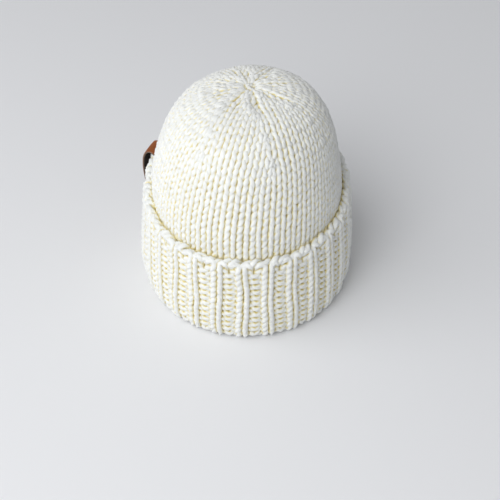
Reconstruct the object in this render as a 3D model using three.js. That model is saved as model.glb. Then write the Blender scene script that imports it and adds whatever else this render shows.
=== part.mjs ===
// A chunky hand-knitted beanie: a hollow crown, a turned-up ribbed cuff and a small leather tag.
// Millimetres, +Z up. The rim rests on z = 0, the back of the hat faces -Y and the tag is on -X.
// Every section is an oval: widths are given along X, and the depth along Y is OVAL times that.
import * as THREE from "three";

// Driving dimensions
const OVAL = 1.12;
const SEGMENTS = 72;
const RIM_HEIGHT = 7.3; // the crown's lower edge sits this high, on the cuff's fold
const KNIT_WALL = 7; // one layer of the knitted fabric
const CLEARANCE = 0.5; // between neighbouring pieces
const GATHER_SIDEWAYS = -1.2; // the gather lies this far along X from the dome's own middle
const GATHER_FORWARD = 10; // and this far along Y
const GATHER_REACH = 22;
const DOME_HEIGHT = 140; // the gather and its pleats lie above this

// Outer face of the crown, from its lower edge to the gather: half-width and sideways lean
const CROWN_ROWS = [
  { height: RIM_HEIGHT, halfWidth: 84.4, lean: 0.6 },
  { height: 45.0, halfWidth: 84.8, lean: 0.4 },
  { height: 80.0, halfWidth: 84.0, lean: -0.2 },
  { height: 100.0, halfWidth: 83.2, lean: 0.0 },
  { height: 115.0, halfWidth: 81.0, lean: 0.5 },
  { height: 130.0, halfWidth: 77.8, lean: 1.2 },
  { height: 145.0, halfWidth: 73.4, lean: 2.2 },
  { height: 158.0, halfWidth: 67.6, lean: 3.0 },
  { height: 168.0, halfWidth: 60.6, lean: 3.8 },
  { height: 176.0, halfWidth: 51.6, lean: 4.4 },
  { height: 181.4, halfWidth: 41.0, lean: 4.6 },
  { height: 184.8, halfWidth: 27.6, lean: 4.6 },
  { height: 185.8, halfWidth: 13.0, lean: 4.6 },
  { height: 184.0, halfWidth: 0.0, lean: 4.6 },
];
const CROWN_STEPS = 21;
const INNER_STEPS = 13;
const FINE_STEPS = 168; // where the cuff's inner face reads the crown's width

// Outer face of the cuff, from the edge of the flat rim up to the rounded lip
const CUFF_ROWS = [
  { height: 0.0, halfWidth: 87.6 },
  { height: 1.8, halfWidth: 90.6 },
  { height: 5.5, halfWidth: 92.8 },
  { height: 13.0, halfWidth: 94.4 },
  { height: 30.0, halfWidth: 95.0 },
  { height: 50.0, halfWidth: 93.6 },
  { height: 66.0, halfWidth: 92.4 },
  { height: 77.0, halfWidth: 91.8 },
  { height: 82.0, halfWidth: 90.8 },
  { height: 84.4, halfWidth: 88.4 },
  { height: 83.4, halfWidth: 85.8 },
];
// Inner side of the fold, under the crown's edge, back to the flat rim
const FOLD_ROWS = [
  { height: 6.0, halfWidth: 78.1 },
  { height: 3.0, halfWidth: 78.4 },
  { height: 1.0, halfWidth: 79.6 },
  { height: 0.0, halfWidth: 81.8 },
];
const CUFF_INNER_STEPS = 5;
const CUFF_INNER_TOP = 80;
const LIP_RISE = 21; // the lip climbs this much from the back of the hat to its front
const LIP_RISE_POWER = 1.3; // and more steeply towards the front
const LIP_RISE_FROM = 30; // above this height

// Dents and bulges: most are shared by the crown and the cuff, so that both keep together
const DENTS = [
  { of: "both", angle: 180, height: 30, spreadDeg: 26, spread: 18, push: 1.4 }, // left side, full
  { of: "both", angle: 180, height: 86, spreadDeg: 30, spread: 16, push: -1.6 }, // left lip, drawn in
  { of: "both", angle: 0, height: 62, spreadDeg: 30, spread: 30, push: 1.2 }, // right side, flaring
  { of: "cuff", angle: 24, height: 92, spreadDeg: 18, spread: 18, push: 3.4 }, // right front, flaring
  { of: "cuff", angle: 156, height: 92, spreadDeg: 18, spread: 18, push: 3.2 }, // under the tag
  { of: "crown", angle: 156, height: 76, spreadDeg: 16, spread: 26, push: -5.2 }, // behind the tag
  { of: "crown", angle: 38, height: 174, spreadDeg: 22, spread: 10, push: 1.2 }, // right shoulder
  { of: "crown", angle: 122, height: 180, spreadDeg: 14, spread: 8, push: -2.0 }, // left of the top
];
const STIFF_BELOW = 10; // the rim itself stays an even oval

// Pleats where the fabric is drawn together
const PLEATS = 8;
const PLEAT_TURN = 11.5; // degrees that they are turned clockwise, seen from above
const PLEAT_DEPTH = 1.3;
const PLEAT_RADIUS = 19;
const PLEAT_SPREAD = 10;

// Leather tag, folded over the cuff's lip with a loose arch above it
const TAG_WIDTH = 20;
const TAG_THICKNESS = 1.8;
const TAG_REAR_ANGLE = 162.3;
const TAG_BEND_RADIUS = 100;
const TAG_STEPS = 5; // along its width
const TAG_FOLD_STEPS = 22;
// Middle of the leather, from its outer end over the fold to its inner end
const TAG_ROWS = [
  { height: 60.0, halfWidth: 95.0 },
  { height: 70.0, halfWidth: 96.4 },
  { height: 80.0, halfWidth: 98.0 },
  { height: 89.0, halfWidth: 98.2 },
  { height: 96.2, halfWidth: 96.8 },
  { height: 100.8, halfWidth: 93.4 },
  { height: 100.8, halfWidth: 89.0 },
  { height: 96.2, halfWidth: 85.0 },
  { height: 89.0, halfWidth: 83.0 },
  { height: 78.0, halfWidth: 82.8 },
  { height: 66.0, halfWidth: 83.1 },
];

const radians = THREE.MathUtils.degToRad;
const lerp = THREE.MathUtils.lerp;

// Value of one column of a table at a place along another, straight between rows
function lookUp(rows, along, place, column) {
  const last = rows.length - 1;
  const next = rows.findIndex((row) => row[along] >= place);
  if (next === 0) {
    return rows[0][column];
  }
  if (next < 0) {
    return rows[last][column];
  }
  const [low, high] = [rows[next - 1], rows[next]];
  return lerp(low[column], high[column], (place - low[along]) / (high[along] - low[along]));
}

function bell(distance, spread) {
  return Math.exp(-((distance / spread) ** 2));
}

function dentAt(angle, height, piece) {
  const firm = THREE.MathUtils.smoothstep(height, 0, STIFF_BELOW);
  const turn = 2 * Math.PI;
  const away = (dent) => {
    const difference = Math.abs(angle - radians(dent.angle)) % turn;
    return Math.min(difference, turn - difference);
  };
  const own = DENTS.filter((dent) => dent.of === "both" || dent.of === piece);
  return own.reduce((sum, dent) => {
    const side = bell(away(dent), radians(dent.spreadDeg));
    return sum + firm * dent.push * side * bell(height - dent.height, dent.spread);
  }, 0);
}

// A point of the hat's oval form, from the angle round it, the half-width and the height
function formPoint(angle, halfWidth, height, piece) {
  const inDome = Math.min(1, halfWidth / PLEAT_RADIUS);
  const radius = halfWidth + inDome * dentAt(angle, height, piece);
  const nearTop = height > DOME_HEIGHT ? 1 : 0;
  const drawn = nearTop * bell(halfWidth, GATHER_REACH);
  const fold = 0.5 - 0.5 * Math.cos(PLEATS * (angle + radians(PLEAT_TURN)));
  const pleat = nearTop * PLEAT_DEPTH * fold * bell(halfWidth - PLEAT_RADIUS, PLEAT_SPREAD);
  const lean = lookUp(CROWN_ROWS, "height", height, "lean");
  return new THREE.Vector3(
    radius * Math.cos(angle) + lean + GATHER_SIDEWAYS * drawn,
    radius * Math.sin(angle) * OVAL + GATHER_FORWARD * drawn,
    height - pleat * inDome
  );
}

// The lip of the cuff is lowest at the back of the hat and highest at its front
function lipRise(angle, height) {
  const nearLip = THREE.MathUtils.smoothstep(height, LIP_RISE_FROM, CUFF_INNER_TOP);
  return LIP_RISE * nearLip * (0.5 + 0.5 * Math.sin(angle)) ** LIP_RISE_POWER;
}

// Turns a profile of half-widths and heights into the oval form
function ovalBody(profile, piece) {
  const geometry = new THREE.LatheGeometry(profile, SEGMENTS);
  geometry.rotateX(Math.PI / 2);
  const places = geometry.attributes.position;
  for (let i = 0; i < places.count; i += 1) {
    const place = new THREE.Vector3().fromBufferAttribute(places, i);
    const angle = Math.atan2(place.y, place.x);
    const height = place.z + (piece === "cuff" ? lipRise(angle, place.z) : 0);
    const formed = formPoint(angle, Math.hypot(place.x, place.y), height, piece);
    places.setXYZ(i, formed.x, formed.y, formed.z);
  }
  return geometry;
}

function curveThrough(rows) {
  return new THREE.SplineCurve(rows.map((row) => new THREE.Vector2(row.halfWidth, row.height)));
}

// The inner face is the outer one drawn in by the thickness of the fabric
function drawnIn(point) {
  const width = CROWN_ROWS[0].halfWidth;
  const rise = CROWN_ROWS.at(-1).height - RIM_HEIGHT;
  return new THREE.Vector2(
    point.x * (1 - KNIT_WALL / width),
    RIM_HEIGHT + (point.y - RIM_HEIGHT) * (1 - KNIT_WALL / rise)
  );
}

function crownGeometry() {
  const curve = curveThrough(CROWN_ROWS);
  const outer = curve.getSpacedPoints(CROWN_STEPS);
  const inner = curve.getSpacedPoints(INNER_STEPS).map(drawnIn);
  outer.at(-1).x = 0;
  inner.at(-1).x = 0;
  return ovalBody([...inner.reverse(), ...outer], "crown");
}

function cuffGeometry() {
  const crown = curveThrough(CROWN_ROWS).getSpacedPoints(FINE_STEPS);
  const faces = crown.map((point) => ({ halfWidth: point.x, height: point.y }));
  const outer = CUFF_ROWS.map((row) => new THREE.Vector2(row.halfWidth, row.height));
  const inner = [];
  for (let i = 0; i <= CUFF_INNER_STEPS; i += 1) {
    const height = lerp(CUFF_INNER_TOP, RIM_HEIGHT - CLEARANCE, i / CUFF_INNER_STEPS);
    const againstCrown = lookUp(faces, "height", height, "halfWidth") + CLEARANCE;
    inner.push(new THREE.Vector2(againstCrown, height));
  }
  const fold = FOLD_ROWS.map((row) => new THREE.Vector2(row.halfWidth, row.height));
  const shelf = new THREE.Vector2(fold[0].x, RIM_HEIGHT - CLEARANCE);
  return ovalBody([...outer, ...inner, shelf, ...fold, outer[0]], "cuff");
}

// Both faces of the folded leather, as one closed outline round its middle line
function tagOutline() {
  const middle = curveThrough(TAG_ROWS);
  const side = (sign) => {
    const face = [];
    for (let i = 0; i <= TAG_FOLD_STEPS; i += 1) {
      const share = i / TAG_FOLD_STEPS;
      const along = middle.getTangentAt(share);
      const across = new THREE.Vector2(-along.y, along.x).multiplyScalar((sign * TAG_THICKNESS) / 2);
      face.push(middle.getPointAt(share).add(across));
    }
    return face;
  };
  return new THREE.Shape([...side(1), ...side(-1).reverse()]);
}

function tagGeometry() {
  const geometry = new THREE.ExtrudeGeometry(tagOutline(), {
    depth: TAG_WIDTH,
    steps: TAG_STEPS,
    bevelEnabled: false,
  });
  const places = geometry.attributes.position;
  for (let i = 0; i < places.count; i += 1) {
    const angle = radians(TAG_REAR_ANGLE) - places.getZ(i) / TAG_BEND_RADIUS;
    const formed = formPoint(angle, places.getX(i), places.getY(i), "tag");
    places.setXYZ(i, formed.x, formed.y, formed.z);
  }
  return geometry;
}

const wool = new THREE.MeshStandardMaterial({ color: "#efece0", roughness: 0.95, metalness: 0 });
const ribWool = new THREE.MeshStandardMaterial({ color: "#eceade", roughness: 0.95, metalness: 0 });
const leather = new THREE.MeshStandardMaterial({ color: "#8a4c24", roughness: 0.6, metalness: 0 });

function piece(name, geometry, material) {
  const mesh = new THREE.Mesh(geometry, material);
  mesh.name = name;
  return mesh;
}

const beanie = new THREE.Group();
beanie.add(piece("crown", crownGeometry(), wool));
beanie.add(piece("cuff", cuffGeometry(), ribWool));
beanie.add(piece("leather_tag", tagGeometry(), leather));

export default beanie;
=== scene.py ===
"""A chunky hand-knitted beanie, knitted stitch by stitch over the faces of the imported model.

Metres, +Z up. The back of the hat faces -Y and the leather tag is on -X.
A place on the fabric is given by its turn round the hat, from 0 to 1, and by its row of knitting:
row 0 is the cast-on edge at the cuff's lip, the rows run down the cuff, round the rim and up the crown.
"""

import math

import bmesh
import bpy
import numpy as np
from bpy.props import FloatProperty, FloatVectorProperty, IntProperty, PointerProperty
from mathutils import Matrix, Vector
from mathutils.bvhtree import BVHTree
from mathutils.kdtree import KDTree


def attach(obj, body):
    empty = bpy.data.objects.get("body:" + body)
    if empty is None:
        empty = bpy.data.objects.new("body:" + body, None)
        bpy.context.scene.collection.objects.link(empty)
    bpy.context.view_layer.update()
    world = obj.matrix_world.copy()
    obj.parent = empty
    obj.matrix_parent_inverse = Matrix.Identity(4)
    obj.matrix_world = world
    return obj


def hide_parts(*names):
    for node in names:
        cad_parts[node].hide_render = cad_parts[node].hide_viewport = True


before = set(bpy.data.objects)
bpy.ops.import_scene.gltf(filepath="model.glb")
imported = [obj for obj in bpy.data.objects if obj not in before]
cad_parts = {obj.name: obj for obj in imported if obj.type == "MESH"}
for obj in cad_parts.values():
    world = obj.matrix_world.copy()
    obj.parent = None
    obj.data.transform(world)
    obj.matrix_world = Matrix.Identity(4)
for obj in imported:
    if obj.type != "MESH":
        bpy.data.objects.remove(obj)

bl_info = {
    "name": "Knitted beanie",
    "version": (1, 0, 0),
    "blender": (4, 5, 0),
    "location": "3D View > Sidebar > Beanie",
    "description": "Knits a chunky beanie with a turned-up ribbed cuff and a leather tag",
    "category": "Add Mesh",
}

MM = 0.001
FULL = 2 * math.pi  # radians in a whole turn
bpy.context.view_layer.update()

# How the fabric lies on the model
AXIS_LOW = (0.6 * MM, 0.0)  # the hat's middle line, up to the pivot
AXIS_TOP = (3.4 * MM, 10 * MM)  # the same at the gather
FAR = 0.3  # lines that look for a face start this far from the middle line
LIP_HEIGHT = 78 * MM  # the first row of the rib starts here at the back of the hat
LIP_RISE = 21 * MM  # and this much higher at its front
LIP_RISE_POWER = 1.3  # above 1 it climbs more steeply towards the front
FOLD_HEIGHT = 9.2 * MM  # the fabric turns round the rim below this
FOLD_POWER = 0.75  # below 1 the fold is squarer than a half circle
SAG = 0.7 * MM  # how far the soft rim is pressed flat where it rests
RIB_TOP = 66 * MM  # inside the cuff the rib ends here and the plain knitting starts
PIVOT_HEIGHT = 75 * MM  # above this the faces are looked for along slanting lines
DOME_SLOPE = 89.9  # degrees, the slope of the last of those lines

# The grid that holds the fabric's form
TURN_STEPS = 180
ROWS_PER_STEP = 0.1
LOW_ROW = -1.5  # its first row, a little above the lip
CUFF_POINTS = 20  # points found along one line of the fabric, stretch by stretch
FOLD_POINTS = 10
RIB_POINTS = 14
PLAIN_POINTS = 3
DOME_POINTS = 69
TINY = 1e-12  # keeps a length of nothing from dividing by zero

# The leather tag, folded over the lip
TAG_CORE = 90 * MM  # the line that it is folded round is this far from the hat's middle line
TAG_CORE_HEIGHT = 91 * MM  # and ends at this height, in the fold
TAG_ENDS = (60.6 * MM, 66.6 * MM)  # heights of its outer and its inner end
TAG_TURNS = (148.4 / 360, 159.9 / 360)  # it lies between these turns
TAG_LONG = 96  # faces along the strip
TAG_WIDE = 16  # and across it
TAG_OUTER_POINTS = 24  # points found along it, on its outer side, its fold and its inner side
TAG_FOLD_POINTS = 32
TAG_INNER_POINTS = 20
TAG_SHARP = math.radians(50)  # an edge is rubbed round where its faces meet at more than this
TAG_RUB = 0.35  # by this share of the leather's thickness

# Rows of knitting in each stretch of the fabric, from the cast-on edge to the gather
CUFF_ROWS = 12
FOLD_ROWS = 2
INNER_RIB_ROWS = 10
CROWN_ROWS = 27
RIB_ROWS = CUFF_ROWS + FOLD_ROWS + INNER_RIB_ROWS
ALL_ROWS = RIB_ROWS + CROWN_ROWS
INSIDE_ROW = CUFF_ROWS + FOLD_ROWS - 1  # the fold's last row, which belongs to the inside

# Stitches: 8 wedges, each 7 stitches wide until the crown is decreased
WEDGES = 8
WEDGE_STITCHES = 7
TOP_WEDGES = (1, 1, 2, 2, 3, 4, 5, 5, 5, 6, 6, 6)  # stitches in a wedge, from the gather down
DECREASED_ROW = ALL_ROWS - len(TOP_WEDGES)  # the first row with fewer stitches
STITCHES = WEDGES * WEDGE_STITCHES
START_TURN = 242.15 / 360  # the first wedge starts here
CUFF_DRIFT = -0.5 / STITCHES  # the cuff is turned by half a stitch against it
SEED = 7
ROUND_SEED = 1000  # each round of stitches has this and its row as its seed

# How the columns wander. Amounts in turns are shares of the way round the hat.
EASED_ROWS = 8  # rows below the decreases that they draw on
EASING_STEPS = 160
EASING = 0.5
JITTER = 0.025  # as a share of a stitch
WANDER = (0.0010, 0.0007)  # turns, of two slow waves in the rib's columns
WANDER_PACE = (0.55, 0.24)  # radians that they turn by from row to row

# The path of the yarn through a stitch. Widths are shares of a stitch, and heights are rows.
LEAN = 0.92  # how far the legs of a loop lean out from its foot to its head
LEG_LEAN = 0.34  # how much more one leg leans than the other
HIGH_LEAN = 0.22  # how much more both lean high on the crown
HIGH_LEG_LEAN = 0.2  # how much less they differ there
HIGH_FROM = 5  # the change starts this far above the rib
HIGH_OVER = 8  # and goes on over so many rows
LEG_FLATNESS = 1.8  # how flat the outer side of a leg lies
RIB_OUT = 0.35  # how far knit columns stand out and purl columns lie back, as a share of the relief
RIB_RELIEF = 1.05  # how far the legs stand out from their column, as the same share
LOOP_JITTER = 0.02
PUFF_JITTER = 0.03  # as a share of the yarn's thickness
WAVE = 0.06  # how far the rows wave up and down
WAVES = 3  # waves round the hat
WAVE_PACE = 0.7  # radians that they turn by from row to row
SUNK_ROWS = 0.7  # the gather is drawn in over about so many rows
CLOSED_HEAD = 0.42  # half the width of the last loops

# Two loops that are knitted together: the front one leans over the back one
SHARED_HEAD = 0.62  # how much narrower each is at its head
FRONT_TUCK = 0.5  # how far its head stands out, as a share of the relief
BACK_TUCK = -0.6
FRONT_SHIFT = -0.16  # how far its head lies to the side
BACK_SHIFT = 0.2

# The cast-on edge, two strands twisted round each other
EDGE_HEIGHT = 80.3 * MM  # its middle at the back of the hat
EDGE_TURNS = 37  # its strands go round each other this often
EDGE_SAMPLES = 16  # sections in the length of one stitch
EDGE_WAVES = (9, 17, 23, 37)  # waves round the hat that make it loose
EDGE_LOOSE_TURN = 0.25  # radians that one such wave turns the strands by
EDGE_LOOSE_REACH = 0.1  # the share by which it parts them
EDGE_LOOSE_YARN = 0.05  # the share by which it thickens them
EDGE_SHIFTS = (97, 211)  # sections by which the last two lie apart from the first

# The strand that draws the gather together
GATHER_SAMPLES = 48
GATHER_ROW = ALL_ROWS - 0.3
GATHER_WIDTH = 0.35  # as a share of its length
GATHER_WAVE = 0.4  # as a share of the yarn's radius
GATHER_TWIST = 2  # turns of its plies

# Patterns on the yarn and the leather, as repeats for each millimetre
FIBRES_ROUND = 3.2  # a scale at which bundles of fibres are about 0.8 mm wide on this yarn
FIBRES_ALONG = 0.13  # stretches them to about 2.4 mm long
FIBRE_HEIGHT = 0.8 * MM
TONES = 0.09  # patches of tone in the wool, about 11 mm across
TANS = 0.16  # patches of tone in the leather, about 6 mm across
TAN_DARK = 0.6  # the darkest of them, as a share of the leather's colour
PORES = 1.4  # pores about 0.7 mm apart
FLUFF = 1.8  # the flesh side's nap, in tufts of about 0.6 mm
GRAIN_HEIGHT = 0.2 * MM

# How strongly the patterns show
CREASE_SHADE_SPAN = (0.17, 1.28)  # the painted warm shade between the stitches goes from none to full between these crowdings
TONE_SPAN = (0.3, 0.7)  # the wool's tone goes from dark to full between these values of its noise
TONE_DARK = 0.95  # the darkest patches, as a share of the full tone
STREAK_SPAN = (0.3, 0.65)  # the same for the bundles of fibres
STREAK_DARK = 0.93
FIBRE_BUMP = 0.6
GRAIN_BUMP = 0.35
FLESH_ROUGH = 0.9
GRAIN_ROUGH = 0.48

# The camera and the lamps, in metres and watts
CAMERA_AIM = (3.5 * MM, 0, 14.2 * MM)
CAMERA_DISTANCE = 1.083
SENSOR_WIDTH = 36  # millimetres
LAMP_AIM = (0, 0, 0.1)
LAMPS = {
    "key": {"place": (-1.38, -0.8, 1.5), "width": 3.1, "power": 32},
    "fill": {"place": (-0.55, -1.25, 1.2), "width": 1.2, "power": 10},
}
ROOM_LIGHT = 0.46
FLOOR_RADIUS = 9.0

KIT = {}  # what the first operator sets out for the others


def linear(code):
    """The linear colour of an sRGB hex code."""
    parts = [int(code[i:i + 2], 16) / 255 for i in (1, 3, 5)]
    return tuple(c / 12.92 if c <= 0.04045 else ((c + 0.055) / 1.055) ** 2.4 for c in parts)


def colour(name, about, code):
    """A colour setting, from its sRGB hex code."""
    return FloatVectorProperty(
        name=name, description=about, default=linear(code), subtype="COLOR", min=0, max=1
    )


def size(name, about, millimetres):
    """A length setting, from its default in millimetres."""
    return FloatProperty(
        name=name, description=about, default=millimetres * MM, unit="LENGTH", precision=5
    )


class YarnSettings(bpy.types.PropertyGroup):
    """The thick soft yarn and the way that it loops."""

    radius: size("Radius", "Half the thickness of the yarn", 2.7)
    plies: IntProperty(name="Plies", description="Strands twisted into the yarn", default=4)
    groove: FloatProperty(
        name="Groove", description="Depth between two plies, as a share of the radius", default=0.28
    )
    twist: FloatProperty(
        name="Twist", description="Turns of the plies in the yarn of one stitch", default=1.75
    )
    puff: FloatProperty(name="Puff", description="How much thicker the legs are", default=0.12)
    samples: IntProperty(name="Samples", description="Sections along one stitch", default=20)
    wall: size("Wall", "From the fabric's outer face to its middle, in plain knitting", 4.2)
    rib_wall: size("Rib wall", "The same in the rib, where the cuff is thick enough", 4.8)
    edge_twist: size("Edge twist", "Distance from the cast-on edge's middle to its strands", 1.9)
    edge_out: size("Edge out", "How far the cast-on edge stands out from the rib's middle", -1.9)
    edge_sag: size("Edge sag", "How much the cast-on edge sags between two knit columns", 2.0)
    edge_yarn: FloatProperty(
        name="Edge yarn", description="Thickness of the strands of the cast-on edge", default=1.0
    )
    drawn: size("Drawn loop", "Half the length of the loop that draws the gather together", 3.6)
    closed: FloatProperty(
        name="Closed", description="How much longer the last loops are, in rows", default=0.42
    )
    sunk: size("Sunk", "How deep the gather is drawn in", 1.5)
    overlap: FloatProperty(
        name="Overlap", description="How far a loop reaches into the next row, in rows", default=0.42
    )
    # Painted shade: light is the open wool, and deep is a warm shade painted down between the stitches,
    # so the two are lit and shaded copies of one wool
    light: colour("Light", "Bleached wool where it catches the light", "#F7F9F7")
    deep: colour("Deep", "The warm ivory down between the stitches", "#F2E39C")


class TagSettings(bpy.types.PropertyGroup):
    """The leather strip that is folded over the cuff's lip."""

    width: size("Width", "Width of the strip", 20)
    thickness: size("Thickness", "Thickness of the leather", 1.8)
    corner: size("Corner", "Radius of the strip's corners", 4)
    face: colour("Face", "Chestnut grain side", "#9E551F")
    # Painted shade: the flesh side is near-black, its raw colour darkened by the shade that lies under
    # the fold
    back: colour("Back", "Raw flesh side", "#2A211C")
    edge: colour("Edge", "Cut edge", "#6E5B4E")


class StageSettings(bpy.types.PropertyGroup):
    """Floor, light and camera."""

    floor: colour("Floor", "Pale matt floor", "#EBECEF")
    room: colour("Room", "Pale walls all round", "#DFE0E1")
    key: colour("Key light", "Window light from the upper left", "#FEFEFE")
    lens: FloatProperty(name="Lens", description="Focal length in millimetres", default=85)
    elevation: FloatProperty(
        name="Elevation", description="Camera's angle above the floor",
        default=math.radians(40), subtype="ANGLE",
    )


def cad_tree(node):
    """The faces of a CAD piece, to be met by straight lines."""
    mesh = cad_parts[node].data
    return BVHTree.FromPolygons(
        [v.co for v in mesh.vertices], [tuple(p.vertices) for p in mesh.polygons]
    )


def outer_face(tree, turn, height, slope):
    """Where a line from outside first meets a piece, aimed at the hat's middle line at a height."""
    flat = Vector((math.cos(FULL * turn), math.sin(FULL * turn), 0))
    away = flat * math.cos(slope) + Vector((0, 0, math.sin(slope)))
    aim = Vector(AXIS_LOW).lerp(Vector(AXIS_TOP), slope / (math.pi / 2)).to_3d()
    aim.z = height
    place = tree.ray_cast(aim + away * FAR, -away, FAR)[0]
    if place is None:
        raise RuntimeError(f"no face at turn {turn:.3f}, height {height:.3f}")
    return place


def faces(tree, turns, levels_at):
    """Points of a piece's outer face: for each turn, one at each (height, slope)."""
    return np.array([[outer_face(tree, turn, h, s) for h, s in levels_at(turn)] for turn in turns])


def lip_rise(turn):
    """How much higher the lip is there than at the back of the hat."""
    return LIP_RISE * (0.5 + 0.5 * np.sin(FULL * turn)) ** LIP_RISE_POWER


def normals_of(grid):
    """The normals of a grid of points over turn and row."""
    across = np.roll(grid, -1, axis=0) - np.roll(grid, 1, axis=0)
    normal = np.cross(across, np.gradient(grid, axis=1))
    return normal / np.maximum(np.linalg.norm(normal, axis=2, keepdims=True), TINY)


def spread(grid, marks):
    """The row of each point of a grid: the marks are (step of the grid, row) and between them
    the rows are spread evenly by length."""
    length = np.linalg.norm(np.diff(grid[:, :, :3], axis=1), axis=2)
    far = np.concatenate([np.zeros((len(grid), 1)), np.cumsum(length, axis=1)], axis=1)
    steps, rows = zip(*marks)
    return np.array([np.interp(line, line[list(steps)], rows) for line in far])


def down_the_cuff(crown, cuff, turns, yarn):
    """The fabric's middle and relief from the lip to the fold, within the cuff's wall."""

    def levels_at(turn):
        return [(h, 0) for h in np.linspace(LIP_HEIGHT + lip_rise(turn), FOLD_HEIGHT, CUFF_POINTS)]

    outer, inner = faces(cuff, turns, levels_at), faces(crown, turns, levels_at)
    thick = np.linalg.norm(outer - inner, axis=2, keepdims=True)
    half = np.minimum(thick / 2, yarn.rib_wall)
    return np.concatenate([outer + (inner - outer) * half / thick, half - yarn.radius], axis=2)


def up_the_crown(crown, turns, yarn):
    """The same from the fold to the gather, within the crown's wall."""
    levels = [(h, 0) for h in np.linspace(FOLD_HEIGHT, RIB_TOP, RIB_POINTS)]
    levels += [(h, 0) for h in np.linspace(RIB_TOP, PIVOT_HEIGHT, PLAIN_POINTS + 1)[1:]]
    slopes = np.radians(np.linspace(0, DOME_SLOPE, DOME_POINTS + 1)[1:])
    levels += [(PIVOT_HEIGHT, slope) for slope in slopes]
    face = faces(crown, turns, lambda turn: levels)
    relief = np.full_like(face[:, :, :1], yarn.wall - yarn.radius)
    return np.concatenate([face - yarn.wall * normals_of(face), relief], axis=2)


def round_the_rim(start, end, yarn):
    """The same round the fold, from the cuff to the crown, flattened where it rests."""
    swing = np.linspace(0, math.pi, FOLD_POINTS + 2)[1:-1, None]
    across = np.sign(np.cos(swing)) * np.abs(np.cos(swing)) ** FOLD_POWER
    fold = (start + end) / 2 + (start - end) / 2 * across
    fold[:, :, 3] = start[:, :, 3] + (end - start)[:, :, 3] * swing[:, 0] / math.pi
    lowest = yarn.radius + fold[:, :, 3] - SAG
    fold[:, :, 2] = FOLD_HEIGHT - (FOLD_HEIGHT - lowest) * np.sin(swing[:, 0]) ** FOLD_POWER
    return fold


class Fabric:
    """The middle of the knitted wall, as a grid of place, normal and relief over turn and row."""

    def __init__(self, yarn):
        crown, cuff = cad_tree("crown"), cad_tree("cuff")
        turns = np.arange(TURN_STEPS) / TURN_STEPS
        down = down_the_cuff(crown, cuff, turns, yarn)
        up = up_the_crown(crown, turns, yarn)
        fold = round_the_rim(down[:, -1:], up[:, :1], yarn)
        before = down[:, :1] + [0, 0, LIP_HEIGHT / CUFF_ROWS * -LOW_ROW, 0]
        line = np.concatenate([before, down, fold, up], axis=1)

        fold_end = CUFF_POINTS + FOLD_POINTS + 1
        marks = [
            (0, LOW_ROW), (1, 0), (CUFF_POINTS, CUFF_ROWS), (fold_end, CUFF_ROWS + FOLD_ROWS),
            (fold_end + RIB_POINTS - 1, RIB_ROWS), (line.shape[1] - 1, ALL_ROWS),
        ]
        rows = spread(line, marks)
        self.rows = np.arange(LOW_ROW, ALL_ROWS + ROWS_PER_STEP / 2, ROWS_PER_STEP)
        grid = np.array([
            [np.interp(self.rows, rows[i], line[i, :, k]) for k in range(line.shape[2])]
            for i in range(TURN_STEPS)
        ]).transpose(0, 2, 1)
        place = grid[:, :, :3]
        self.grid = np.concatenate([place, normals_of(place), grid[:, :, 3:]], axis=2)
        self.evened = self.even_turns(place)

    def even_turns(self, place):
        """Turns at equal lengths round the cuff, which is an oval."""
        ring = place[:, int((CUFF_ROWS / 2 - LOW_ROW) / ROWS_PER_STEP)]
        steps = np.linalg.norm(np.roll(ring, -1, axis=0) - ring, axis=1)
        far = np.concatenate([[0], np.cumsum(steps)])
        even = np.arange(TURN_STEPS + 1) / TURN_STEPS
        return np.interp(even, far / far[-1], even)

    def turn_at(self, turn, row):
        """Where a column lies: evenly by angle on the crown, and evenly by length on the cuff."""
        cuff = np.clip((RIB_ROWS - row) / (RIB_ROWS - CUFF_ROWS), 0, 1)
        turn = turn + cuff * CUFF_DRIFT
        whole = np.floor(turn)
        even = whole + np.interp(turn - whole, np.arange(TURN_STEPS + 1) / TURN_STEPS, self.evened)
        return turn + cuff * (even - turn)

    def at(self, turn, row):
        """Place, normal and relief there."""
        below_top = len(self.rows) - 1.001  # so that the step above is still on the grid
        a = (turn % 1) * TURN_STEPS
        b = np.clip((row - LOW_ROW) / ROWS_PER_STEP, 0, below_top)
        a0, b0 = a.astype(int) % TURN_STEPS, b.astype(int)
        a1, b1 = (a0 + 1) % TURN_STEPS, b0 + 1
        u, v = (a - np.floor(a))[..., None], (b - b0)[..., None]
        found = (
            self.grid[a0, b0] * (1 - u) * (1 - v) + self.grid[a1, b0] * u * (1 - v)
            + self.grid[a0, b1] * (1 - u) * v + self.grid[a1, b1] * u * v
        )
        return found[..., :3], found[..., 3:6], found[..., 6]


def stitches_in(row):
    """How many stitches a wedge has in a row."""
    from_top = ALL_ROWS - 1 - row
    return TOP_WEDGES[from_top] if from_top < len(TOP_WEDGES) else WEDGE_STITCHES


def next_stitch(row):
    """For each stitch of a row, the stitch of the next row that is drawn through it."""
    own, after = stitches_in(row), stitches_in(row + 1)
    i = np.arange(WEDGES * own)
    return i // own * after + np.minimum(i % own, after - 1)


def neighbours(turns):
    """For each of the turns round the hat, the one before it and the one after it."""
    count = len(turns)
    before = np.roll(turns, 1) - np.eye(1, count)[0]
    after = np.roll(turns, -1) + np.eye(1, count, count - 1)[0]
    return before, after


def eased(feet):
    """The columns' turns, row by row, drawn together gently by the decreases."""
    parents = [None] + [next_stitch(row) for row in range(len(feet) - 1)]
    for _ in range(EASING_STEPS):
        for row in range(DECREASED_ROW - EASED_ROWS, len(feet) - 1):
            before, after = neighbours(feet[row])
            below = np.bincount(parents[row], feet[row - 1]) / np.bincount(parents[row])
            above = feet[row + 1][parents[row + 1]]
            middle = ((before + after) / 2 + (below + above) / 2) / 2
            feet[row] = feet[row] + EASING * (middle - feet[row])
    return feet


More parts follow.
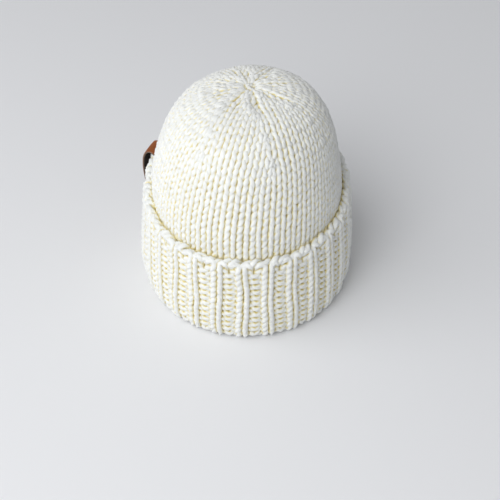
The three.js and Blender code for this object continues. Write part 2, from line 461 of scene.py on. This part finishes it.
def column_turns(fabric, rng):
    """The turn of each stitch's foot, row by row, with the small wanderings of handwork."""
    counts = [WEDGES * stitches_in(row) for row in range(ALL_ROWS - 1)]
    feet = eased([(np.arange(count) + 0.5) / count for count in counts])
    phases = rng.uniform(0, FULL, (2, STITCHES))
    for row, here in enumerate(feet):
        jitter = rng.normal(0, JITTER, len(here)) / len(here)
        if row < RIB_ROWS:
            pair = np.arange(len(here)) // 2
            for amount, pace, phase in zip(WANDER, WANDER_PACE, phases):
                jitter += amount * np.sin(row * pace + phase[pair])
        feet[row] = fabric.turn_at(START_TURN + here + jitter, row)
    return feet


def loop_heads(feet, row):
    """For each stitch of a round, where its loop's head is, half the head's width, and how far
    the head stands out from a decrease or lies behind it."""
    here = feet[row]
    if row + 1 == len(feet):
        return here, np.full(len(here), CLOSED_HEAD / len(here)), np.zeros(len(here))
    above = next_stitch(row)
    count = len(feet[row + 1])
    shared = np.bincount(above)[above] > 1
    first = shared & (np.roll(above, -1) == above)
    shift = np.where(shared, np.where(first, FRONT_SHIFT, BACK_SHIFT), 0)
    tucked = np.where(shared, np.where(first, FRONT_TUCK, BACK_TUCK), 0.0)
    half = np.where(shared, SHARED_HEAD, 1.0) * 0.5 / count
    return feet[row + 1][above] + shift / count, half, tucked


def knitted_round(fabric, yarn, feet, row, rng):
    """The yarn through one round of stitches: its points, twist and thickness."""
    here = feet[row]
    count, samples = len(here), yarn.samples
    t = (np.arange(samples) / samples * FULL - math.pi)[None, :]
    i = np.arange(count)[:, None]
    rib = row < RIB_ROWS
    side = np.where(i % 2 == 1, 1, -1) if rib else np.ones_like(i)

    before, after = neighbours(here)
    foot_half = np.where(t < 0, (here - before)[:, None] / 2, (after - here)[:, None] / 2)
    head, head_half, tucked = loop_heads(feet, row)
    lift = (1 + np.cos(t)) / 2
    high = np.clip((row - RIB_ROWS - HIGH_FROM) / HIGH_OVER, 0, 1)
    leg_lean = (LEG_LEAN - HIGH_LEG_LEAN * high) * np.sin(t) * side
    across = (t + (LEAN + HIGH_LEAN * high + leg_lean) * np.sin(2 * t)) / FULL
    centre = here[:, None] + (head - here)[:, None] * lift
    half = foot_half + (head_half[:, None] - foot_half) * lift
    turn = centre + 2 * across * half
    last = row + 1 == len(feet)
    reach = 0.5 + yarn.overlap + last * yarn.closed + rng.normal(0, LOOP_JITTER, (count, 1))
    wave = WAVE * np.sin(FULL * WAVES * turn + row * WAVE_PACE)
    at_row = row + 0.5 + reach * np.cos(t) + wave

    place, normal, relief = fabric.at(turn, at_row)
    legs = -np.cos(2 * t)
    flat = np.tanh(LEG_FLATNESS * legs) / np.tanh(LEG_FLATNESS)
    smooth = np.where(t * side < 0, flat, legs)
    if rib:
        offset = side * (RIB_OUT + RIB_RELIEF * smooth) * np.cos(math.pi * across)
    else:
        offset = smooth + tucked[:, None] * lift
    offset = offset * relief - yarn.sunk * np.exp(-((ALL_ROWS - at_row) / SUNK_ROWS) ** 2)
    puff = 1 + yarn.puff * (0.5 + 0.5 * legs) + rng.normal(0, PUFF_JITTER, (count, 1))
    points = (place + normal * offset[..., None]).reshape(-1, 3)
    turns = round(count * yarn.twist * yarn.plies) / yarn.plies
    twist = FULL * (turns * np.arange(len(points)) / len(points) + rng.uniform())
    return points, twist, puff.ravel()


def cast_on_edge(fabric, yarn, feet):
    """Two loose strands twisted round each other along the cuff's lip, sagging between ribs."""
    count = STITCHES * EDGE_SAMPLES
    turns = np.arange(count) / count
    place, normal, _ = fabric.at(turns, np.zeros(count))
    across = -normal * [1, 1, 0]
    across /= np.linalg.norm(across, axis=1, keepdims=True)
    middle = place + across * yarn.edge_out
    middle[:, 2] = EDGE_HEIGHT + lip_rise(turns)
    between = 0.5 - 0.5 * np.cos(FULL * (turns - feet[0][1]) * STITCHES / 2)
    middle[:, 2] -= yarn.edge_sag * between
    near, far = EDGE_SHIFTS
    strands = []
    for start in (0, 0.5):
        loose = sum(np.sin(FULL * turns * waves + waves + start) for waves in EDGE_WAVES)
        angle = FULL * (turns * EDGE_TURNS + start) + EDGE_LOOSE_TURN * loose
        reach = yarn.edge_twist * (1 + EDGE_LOOSE_REACH * np.roll(loose, near))
        wave = np.stack([np.cos(angle), np.sin(angle)], axis=1) * reach[:, None]
        points = middle + across * wave[:, :1] + np.array([0, 0, 1]) * wave[:, 1:]
        twist = FULL * turns * STITCHES * yarn.twist
        thickness = yarn.edge_yarn * (1 + EDGE_LOOSE_YARN * np.roll(loose, far))
        strands.append((points, twist, thickness))
    return strands


def gather_strand(fabric, yarn):
    """The strand that draws the last loops together."""
    place, _, _ = fabric.at(np.zeros(1), np.array([GATHER_ROW]))
    angle = FULL * np.arange(GATHER_SAMPLES) / GATHER_SAMPLES
    wave = GATHER_WAVE * yarn.radius * np.sin(2 * angle)
    points = np.stack([
        AXIS_TOP[0] + yarn.drawn * np.cos(angle),
        AXIS_TOP[1] + GATHER_WIDTH * yarn.drawn * np.sin(angle),
        place[0, 2] - yarn.sunk - yarn.radius + wave,
    ], axis=1)
    return [(points, GATHER_TWIST * angle, np.ones(GATHER_SAMPLES))]


def yarn_section(yarn):
    """The outline of the yarn's cross-section: a ridge for each ply and a groove between."""
    data = bpy.data.curves.new("yarn_section", "CURVE")
    data.dimensions = "2D"
    spline = data.splines.new("POLY")
    count = 2 * yarn.plies
    spline.points.add(count - 1)
    for i, point in enumerate(spline.points):
        radius = yarn.radius * (1 - yarn.groove * (i % 2))
        angle = -FULL * i / count
        point.co = (radius * math.cos(angle), radius * math.sin(angle), 0, 1)
    spline.use_cyclic_u = True
    section = bpy.data.objects.new("yarn_section", data)
    bpy.context.scene.collection.objects.link(section)
    return section


def spun(name, strands, yarn):
    """Closed tubes of yarn along strands of (points, twist, thickness), as one mesh."""
    section = yarn_section(yarn)
    data = bpy.data.curves.new(name, "CURVE")
    data.dimensions = "3D"
    data.twist_mode = "MINIMUM"
    data.bevel_mode = "OBJECT"
    data.bevel_object = section
    for points, twist, thickness in strands:
        spline = data.splines.new("POLY")
        spline.points.add(len(points) - 1)
        spline.points.foreach_set("co", np.hstack([points, np.ones((len(points), 1))]).ravel())
        spline.points.foreach_set("tilt", twist)
        spline.points.foreach_set("radius", thickness)
        spline.use_cyclic_u = True
    holder = bpy.data.objects.new(name, data)
    bpy.context.scene.collection.objects.link(holder)
    bpy.context.view_layer.update()
    graph = bpy.context.evaluated_depsgraph_get()
    mesh = bpy.data.meshes.new_from_object(holder.evaluated_get(graph), depsgraph=graph)
    mesh.name = name
    outline = section.data
    for helper in (holder, section):
        bpy.data.objects.remove(helper)
    for curve in (data, outline):
        bpy.data.curves.remove(curve)
    return mesh


def flatten_on_floor(mesh):
    """Soft yarn that would go through the floor is pressed flat on it."""
    co = np.empty(len(mesh.vertices) * 3, np.float32)
    mesh.vertices.foreach_get("co", co)
    co[2::3] = np.maximum(co[2::3], 0)
    mesh.vertices.foreach_set("co", co)
    mesh.update()


def note_shade_crowding(mesh, centres, yarn):
    """Stores how crowded each point of the yarn is, for the warm shade painted between the stitches: 0
    in the open, 2 where a strand lies on it.
    """
    co = np.empty(len(mesh.vertices) * 3, np.float32)
    mesh.vertices.foreach_get("co", co)
    out = co.reshape(-1, 2 * yarn.plies, 3) - centres[:, None]
    out /= np.linalg.norm(out, axis=2, keepdims=True)
    probes = (centres[:, None] + 2 * yarn.radius * out).reshape(-1, 3)
    find = KIT["strands"].find
    gaps = np.array([find(probe)[2] for probe in probes.tolist()])
    shade_crowding = mesh.attributes.new("shade_crowding", "FLOAT", "POINT")
    shade_crowding.data.foreach_set("value", (2 - gaps / yarn.radius).astype(np.float32))


def measure_yarn(mesh, strands, sides):
    """Makes the first UV coordinate the length along the yarn, in metres.

    Each section of a strand starts one ring of square faces, each with four corners.
    """
    layer = mesh.uv_layers[0]
    layer.name = "yarn"
    uv = np.empty(len(mesh.loops) * 2, np.float32)
    layer.data.foreach_get("uv", uv)
    lengths, counts = [], []
    for points, _, _ in strands:
        closed = np.vstack([points, points[:1]])
        lengths.append(np.linalg.norm(np.diff(closed, axis=0), axis=1).sum())
        counts.append(len(points) * sides * 4)
    uv[0::2] *= np.repeat(lengths, counts)
    layer.data.foreach_set("uv", uv)


def finished(name, mesh, material, node):
    """Puts a mesh in the scene as a piece of the hat, in place of a CAD piece."""
    piece = bpy.data.objects.new(name, mesh)
    bpy.context.scene.collection.objects.link(piece)
    mesh.materials.append(material)
    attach(piece, "root")
    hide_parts(node)


def piece_of_yarn(name, strands, node):
    """Spins strands of (points, twist, thickness) into one piece of the hat."""
    yarn = bpy.context.scene.beanie_yarn
    mesh = spun(name, strands, yarn)
    note_shade_crowding(mesh, np.vstack([points for points, _, _ in strands]), yarn)
    measure_yarn(mesh, strands, 2 * yarn.plies)
    flatten_on_floor(mesh)
    finished(name, mesh, KIT["wool"], node)


def add(tree, kind, settings, **inputs):
    """A node with its settings, and its inputs set or linked.

    An input goes by its name, with _ for a space, or by its number after an n.
    """
    node = tree.nodes.new(kind)
    for name, value in settings.items():
        setattr(node, name, value)
    for name, value in inputs.items():
        key = int(name[1:]) if name[0] == "n" and name[1:].isdigit() else name.replace("_", " ")
        socket = node.inputs[key]
        if isinstance(value, bpy.types.NodeSocket):
            tree.links.new(value, socket)
        else:
            socket.default_value = value
    return node


def tone(tree, noise, span, dark):
    """How light a pattern leaves the colour: dark where its noise is low, full where it is high."""
    low, high = span
    return add(tree, "ShaderNodeMapRange", {}, Value=noise.outputs["Fac"], From_Min=low,
               From_Max=high, To_Min=dark, To_Max=1.0)


def new_material(name):
    """An empty node material: its tree and its Principled shader."""
    material = bpy.data.materials.new(name)
    material.use_nodes = True
    tree = material.node_tree
    shader = tree.nodes["Principled BSDF"]
    return material, tree, shader


def wool_material(yarn):
    """Soft wool, plied and brushed: matt, with fine fibres that run along the plies.

    The plies twist with the UV map's second coordinate, so lines of one value follow them.
    The fibres are drawn as bundles of about 2 by 1 mm, because single ones are too fine to show.
    Between the stitches a warm shade is painted into the colour, standing in for light that has passed
    through the wool several times.
    """
    material, tree, shader = new_material("plied_wool")
    uv = add(tree, "ShaderNodeUVMap", {"uv_map": "yarn"}).outputs["UV"]
    parts = add(tree, "ShaderNodeSeparateXYZ", {}, Vector=uv)
    angle = add(tree, "ShaderNodeMath", {"operation": "MULTIPLY"}, n0=parts.outputs["Y"], n1=FULL)
    cosine = add(tree, "ShaderNodeMath", {"operation": "COSINE"}, n0=angle.outputs[0])
    sine = add(tree, "ShaderNodeMath", {"operation": "SINE"}, n0=angle.outputs[0])
    long = add(tree, "ShaderNodeMath", {"operation": "MULTIPLY"}, n0=parts.outputs["X"],
               n1=FIBRES_ALONG / MM)
    thread = add(tree, "ShaderNodeCombineXYZ", {}, X=long.outputs[0], Y=cosine.outputs[0],
                 Z=sine.outputs[0])
    fibres = add(tree, "ShaderNodeTexNoise", {}, Vector=thread.outputs[0], Scale=FIBRES_ROUND,
                 Detail=3.0, Roughness=0.6)
    place = add(tree, "ShaderNodeTexCoord", {}).outputs["Object"]
    mottle = add(tree, "ShaderNodeTexNoise", {}, Vector=place, Scale=TONES / MM, Detail=2.0)
    # Painted shade: the more crowded the yarn, the more of the warm deep colour it takes
    shade_crowding = add(tree, "ShaderNodeAttribute", {"attribute_name": "shade_crowding"}).outputs["Fac"]
    open_air, crowded = CREASE_SHADE_SPAN
    warm = add(tree, "ShaderNodeMapRange", {"interpolation_type": "SMOOTHSTEP"}, Value=shade_crowding,
               From_Min=open_air, From_Max=crowded)
    tint = add(tree, "ShaderNodeMix", {"data_type": "RGBA"}, n0=warm.outputs[0],
               n6=(*yarn.light, 1), n7=(*yarn.deep, 1))
    shade = tone(tree, mottle, TONE_SPAN, TONE_DARK)
    toned = add(tree, "ShaderNodeVectorMath", {"operation": "SCALE"}, n0=tint.outputs[2],
                Scale=shade.outputs[0])
    streak = tone(tree, fibres, STREAK_SPAN, STREAK_DARK)
    streaked = add(tree, "ShaderNodeVectorMath", {"operation": "SCALE"}, n0=toned.outputs[0],
                   Scale=streak.outputs[0])
    bump = add(tree, "ShaderNodeBump", {}, Height=fibres.outputs["Fac"], Strength=FIBRE_BUMP,
               Distance=FIBRE_HEIGHT)
    tree.links.new(streaked.outputs[0], shader.inputs["Base Color"])
    tree.links.new(bump.outputs[0], shader.inputs["Normal"])
    shader.inputs["Roughness"].default_value = 0.92
    shader.inputs["Specular IOR Level"].default_value = 0.25
    shader.inputs["Subsurface Weight"].default_value = 0.3
    shader.inputs["Subsurface Radius"].default_value = (1.0, 1.0, 1.0)
    shader.inputs["Subsurface Scale"].default_value = 1.0 * MM
    shader.inputs["Sheen Weight"].default_value = 0.6
    shader.inputs["Sheen Roughness"].default_value = 0.5
    return material


class BEANIE_OT_start(bpy.types.Operator):
    """Reads the fabric's form from the model and sets out its yarn"""

    bl_idname = "beanie.start"
    bl_label = "Set out the yarn"

    def execute(self, context):
        yarn = context.scene.beanie_yarn
        fabric = Fabric(yarn)
        feet = column_turns(fabric, np.random.default_rng(SEED))
        KIT["wool"] = wool_material(yarn)
        KIT["rounds"] = [
            knitted_round(fabric, yarn, feet, row, np.random.default_rng(ROUND_SEED + row))
            for row in range(len(feet))
        ]
        KIT["edge"] = cast_on_edge(fabric, yarn, feet)
        KIT["gather"] = gather_strand(fabric, yarn)
        # The painted shade between the stitches is measured against these strands; the cast-on edge is
        # left out so that it adds no painted shade to the crown
        every = np.vstack([points for points, _, _ in KIT["rounds"] + KIT["gather"]])
        KIT["strands"] = KDTree(len(every))
        for i, point in enumerate(every.tolist()):
            KIT["strands"].insert(point, i)
        KIT["strands"].balance()
        return {"FINISHED"}


class BEANIE_OT_cuff(bpy.types.Operator):
    """Knits the turned-up ribbed cuff, its fold and its thick cast-on edge"""

    bl_idname = "beanie.cuff"
    bl_label = "Cuff"

    def execute(self, context):
        rounds = KIT["rounds"]
        middle = CUFF_ROWS // 2
        piece_of_yarn("cuff_rib_upper", rounds[:middle], "cuff")
        piece_of_yarn("cuff_rib_lower", rounds[middle:INSIDE_ROW], "cuff")
        piece_of_yarn("cast_on_edge", KIT["edge"], "cuff")
        return {"FINISHED"}


class BEANIE_OT_crown(bpy.types.Operator):
    """Knits the rib inside the cuff, the plain crown, its decreases and its gather"""

    bl_idname = "beanie.crown"
    bl_label = "Crown"

    def execute(self, context):
        rounds = KIT["rounds"]
        middle = (RIB_ROWS + DECREASED_ROW) // 2
        piece_of_yarn("inner_rib", rounds[INSIDE_ROW:RIB_ROWS], "crown")
        piece_of_yarn("crown_rows_lower", rounds[RIB_ROWS:middle], "crown")
        piece_of_yarn("crown_rows_upper", rounds[middle:DECREASED_ROW], "crown")
        piece_of_yarn("crown_decreases", rounds[DECREASED_ROW:], "crown")
        piece_of_yarn("gather_strand", KIT["gather"], "crown")
        return {"FINISHED"}


def leather_material(tag):
    """Vegetable-tanned leather: a satin chestnut grain side, a raw flesh side painted near-black with
    the shade under the fold, a cut edge.

    The grain side has pores less than a millimetre apart, and the flesh side has a short nap.
    """
    material, tree, shader = new_material("chestnut_leather")
    place = add(tree, "ShaderNodeTexCoord", {}).outputs["Object"]
    grain = add(tree, "ShaderNodeAttribute", {"attribute_name": "grain"}).outputs["Fac"]
    cut = add(tree, "ShaderNodeAttribute", {"attribute_name": "cut"}).outputs["Fac"]
    mottle = add(tree, "ShaderNodeTexNoise", {}, Vector=place, Scale=TANS / MM, Detail=4.0)
    pores = add(tree, "ShaderNodeTexVoronoi", {}, Vector=place, Scale=PORES / MM)
    fluff = add(tree, "ShaderNodeTexNoise", {}, Vector=place, Scale=FLUFF / MM, Detail=3.0)
    dark = tuple(c * TAN_DARK for c in tag.face)
    tanned = add(tree, "ShaderNodeMix", {"data_type": "RGBA"}, n0=mottle.outputs["Fac"],
                 n6=(*dark, 1), n7=(*tag.face, 1))
    # The flesh side takes the near-black back colour, which is painted shade for the hollow under the
    # fold
    sides = add(tree, "ShaderNodeMix", {"data_type": "RGBA"}, n0=grain, n6=(*tag.back, 1),
                n7=tanned.outputs[2])
    whole = add(tree, "ShaderNodeMix", {"data_type": "RGBA"}, n0=cut, n6=sides.outputs[2],
                n7=(*tag.edge, 1))
    rough = add(tree, "ShaderNodeMapRange", {}, Value=grain, To_Min=FLESH_ROUGH,
                To_Max=GRAIN_ROUGH)
    relief = add(tree, "ShaderNodeMix", {"data_type": "FLOAT"}, n0=grain,
                 n2=fluff.outputs["Fac"], n3=pores.outputs["Distance"])
    bump = add(tree, "ShaderNodeBump", {}, Height=relief.outputs[0], Strength=GRAIN_BUMP,
               Distance=GRAIN_HEIGHT)
    tree.links.new(whole.outputs[2], shader.inputs["Base Color"])
    tree.links.new(rough.outputs[0], shader.inputs["Roughness"])
    tree.links.new(bump.outputs[0], shader.inputs["Normal"])
    return material


def tag_core(place):
    """The nearest point of the line that the leather is folded round."""
    away = Vector((place.x - AXIS_LOW[0], place.y - AXIS_LOW[1], 0)).normalized()
    return Vector((*AXIS_LOW, min(place.z, TAG_CORE_HEIGHT))) + TAG_CORE * away


def tag_line(tree, tag, turn):
    """Evenly spaced points of the leather's middle on one line along the strip."""
    outer_end, inner_end = TAG_ENDS
    path = [(h, 0) for h in np.linspace(outer_end, TAG_CORE_HEIGHT, TAG_OUTER_POINTS)]
    path += [(TAG_CORE_HEIGHT, a) for a in np.linspace(0, math.pi, TAG_FOLD_POINTS + 2)[1:-1]]
    path += [(h, math.pi) for h in np.linspace(TAG_CORE_HEIGHT, inner_end, TAG_INNER_POINTS)]
    flat = Vector((math.cos(FULL * turn), math.sin(FULL * turn), 0))
    core = Vector((*AXIS_LOW, 0)) + TAG_CORE * flat
    line = []
    for height, angle in path:
        aim = flat * math.cos(angle) + Vector((0, 0, math.sin(angle)))
        place, normal, _, _ = tree.ray_cast(core + Vector((0, 0, height)), aim)
        line.append(place - normal * tag.thickness / 2)
    line = np.array(line)
    far = np.concatenate([[0], np.cumsum(np.linalg.norm(np.diff(line, axis=0), axis=1))])
    even = np.linspace(0, far[-1], TAG_LONG + 1)
    return [np.interp(even, far, line[:, k]) for k in range(3)]


def tag_middle(tree, tag):
    """Points of the leather's middle, from its outer end over the fold to its inner end, drawn
    together near both ends so that the corners are round."""
    turns = np.linspace(*TAG_TURNS, TAG_WIDE + 1)
    grid = np.array([tag_line(tree, tag, turn) for turn in turns]).transpose(2, 0, 1)
    centre = grid.mean(axis=1, keepdims=True)
    length = np.linalg.norm(np.diff(centre[:, 0], axis=0), axis=1).sum()
    far = np.linspace(0, 1, TAG_LONG + 1) * length
    end = np.clip(1 - np.minimum(far, length - far) / tag.corner, 0, 1)
    narrowed = 1 - 2 * tag.corner / tag.width * (1 - np.sqrt(1 - end ** 2))
    return centre + (grid - centre) * narrowed[:, None, None]


def note_sides(mesh):
    """Stores how much each point lies on the leather's grain side and on its cut edge.

    The grain side faces away from the line that the strip is folded round, and the cut edge
    faces across that direction.
    """
    grain, cut = [], []
    for vertex in mesh.vertices:
        out = (vertex.co - tag_core(vertex.co)).normalized()
        facing = vertex.normal.dot(out)
        grain.append(min(max(0.5 + facing, 0), 1))
        cut.append(min(max(1.5 - 2 * abs(facing), 0), 1))
    for name, values in (("grain", grain), ("cut", cut)):
        layer = mesh.attributes.new(name, "FLOAT", "POINT")
        layer.data.foreach_set("value", values)


class BEANIE_OT_tag(bpy.types.Operator):
    """Cuts the leather tag with round corners and rubbed edges, and tells its sides apart"""

    bl_idname = "beanie.tag"
    bl_label = "Leather tag"

    def execute(self, context):
        tag = context.scene.beanie_tag
        tree = cad_tree("leather_tag")
        form = bmesh.new()
        bmesh.ops.create_grid(form, x_segments=TAG_LONG, y_segments=TAG_WIDE, size=1)
        middle = tag_middle(tree, tag)
        for vertex in form.verts:
            i = round((vertex.co.x + 1) / 2 * TAG_LONG)
            j = round((vertex.co.y + 1) / 2 * TAG_WIDE)
            vertex.co = middle[i, j]
        form.normal_update()
        for vertex in form.verts:
            vertex.co += vertex.normal * tag.thickness / 2
        bmesh.ops.solidify(form, geom=form.faces, thickness=tag.thickness)
        rim = [edge for edge in form.edges if edge.calc_face_angle(0) > TAG_SHARP]
        bmesh.ops.bevel(
            form, geom=rim, offset=TAG_RUB * tag.thickness, segments=3, affect="EDGES",
            profile=0.5, material=-1,
        )
        bmesh.ops.recalc_face_normals(form, faces=form.faces)
        mesh = bpy.data.meshes.new("leather_tag_cut")
        form.to_mesh(mesh)
        form.free()
        mesh.shade_smooth()
        note_sides(mesh)
        finished("leather_tag_cut", mesh, leather_material(tag), "leather_tag")
        return {"FINISHED"}


def area_light(name, tint, place, width, power):
    """A round soft lamp that shines on the hat and isn't seen itself."""
    data = bpy.data.lights.new(name, "AREA")
    data.shape = "DISK"
    data.size = width
    data.energy = power
    data.color = tint
    lamp = bpy.data.objects.new(name, data)
    lamp.location = place
    beam = Vector(LAMP_AIM) - Vector(place)
    lamp.rotation_euler = beam.to_track_quat("-Z", "Y").to_euler()
    lamp.visible_camera = False
    bpy.context.scene.collection.objects.link(lamp)


class BEANIE_OT_stage(bpy.types.Operator):
    """Sets the pale floor, the soft light and the camera"""

    bl_idname = "beanie.stage"
    bl_label = "Stage"

    def execute(self, context):
        scene, settings = context.scene, context.scene.beanie_stage
        scene.view_settings.view_transform = "Standard"
        form = bmesh.new()
        bmesh.ops.create_circle(form, cap_ends=True, segments=96, radius=FLOOR_RADIUS)
        mesh = bpy.data.meshes.new("floor")
        form.to_mesh(mesh)
        form.free()
        floor = bpy.data.objects.new("floor", mesh)
        scene.collection.objects.link(floor)
        material, _, shader = new_material("matt_paint")
        shader.inputs["Base Color"].default_value = (*settings.floor, 1)
        shader.inputs["Roughness"].default_value = 0.8
        mesh.materials.append(material)

        world = bpy.data.worlds.new("room")
        world.use_nodes = True
        walls = world.node_tree.nodes["Background"]
        walls.inputs["Color"].default_value = (*settings.room, 1)
        walls.inputs["Strength"].default_value = ROOM_LIGHT
        scene.world = world
        for name, lamp in LAMPS.items():
            area_light(name, settings.key, **lamp)

        data = bpy.data.cameras.new("camera")
        data.lens = settings.lens
        data.sensor_width = SENSOR_WIDTH
        camera = bpy.data.objects.new("camera", data)
        back = Vector((0, -math.cos(settings.elevation), math.sin(settings.elevation)))
        camera.location = Vector(CAMERA_AIM) + back * CAMERA_DISTANCE
        camera.rotation_euler = (math.pi / 2 - settings.elevation, 0, 0)
        scene.collection.objects.link(camera)
        scene.camera = camera
        return {"FINISHED"}


class BEANIE_PT_panel(bpy.types.Panel):
    """Lists the pieces of the hat"""

    bl_label = "Beanie"
    bl_idname = "BEANIE_PT_panel"
    bl_space_type = "VIEW_3D"
    bl_region_type = "UI"
    bl_category = "Beanie"

    def draw(self, context):
        for operator in OPERATORS:
            self.layout.operator(operator.bl_idname)


OPERATORS = (BEANIE_OT_start, BEANIE_OT_cuff, BEANIE_OT_crown, BEANIE_OT_tag, BEANIE_OT_stage)
SETTINGS = {"beanie_yarn": YarnSettings, "beanie_tag": TagSettings, "beanie_stage": StageSettings}


def register():
    for group in (*SETTINGS.values(), *OPERATORS, BEANIE_PT_panel):
        bpy.utils.register_class(group)
    for name, group in SETTINGS.items():
        setattr(bpy.types.Scene, name, PointerProperty(type=group))


def unregister():
    for name in SETTINGS:
        delattr(bpy.types.Scene, name)
    for group in reversed((*SETTINGS.values(), *OPERATORS, BEANIE_PT_panel)):
        bpy.utils.unregister_class(group)


def main():
    register()
    bpy.ops.beanie.start()
    bpy.ops.beanie.cuff()
    bpy.ops.beanie.crown()
    bpy.ops.beanie.tag()
    bpy.ops.beanie.stage()


if __name__ == "__main__":
    main()
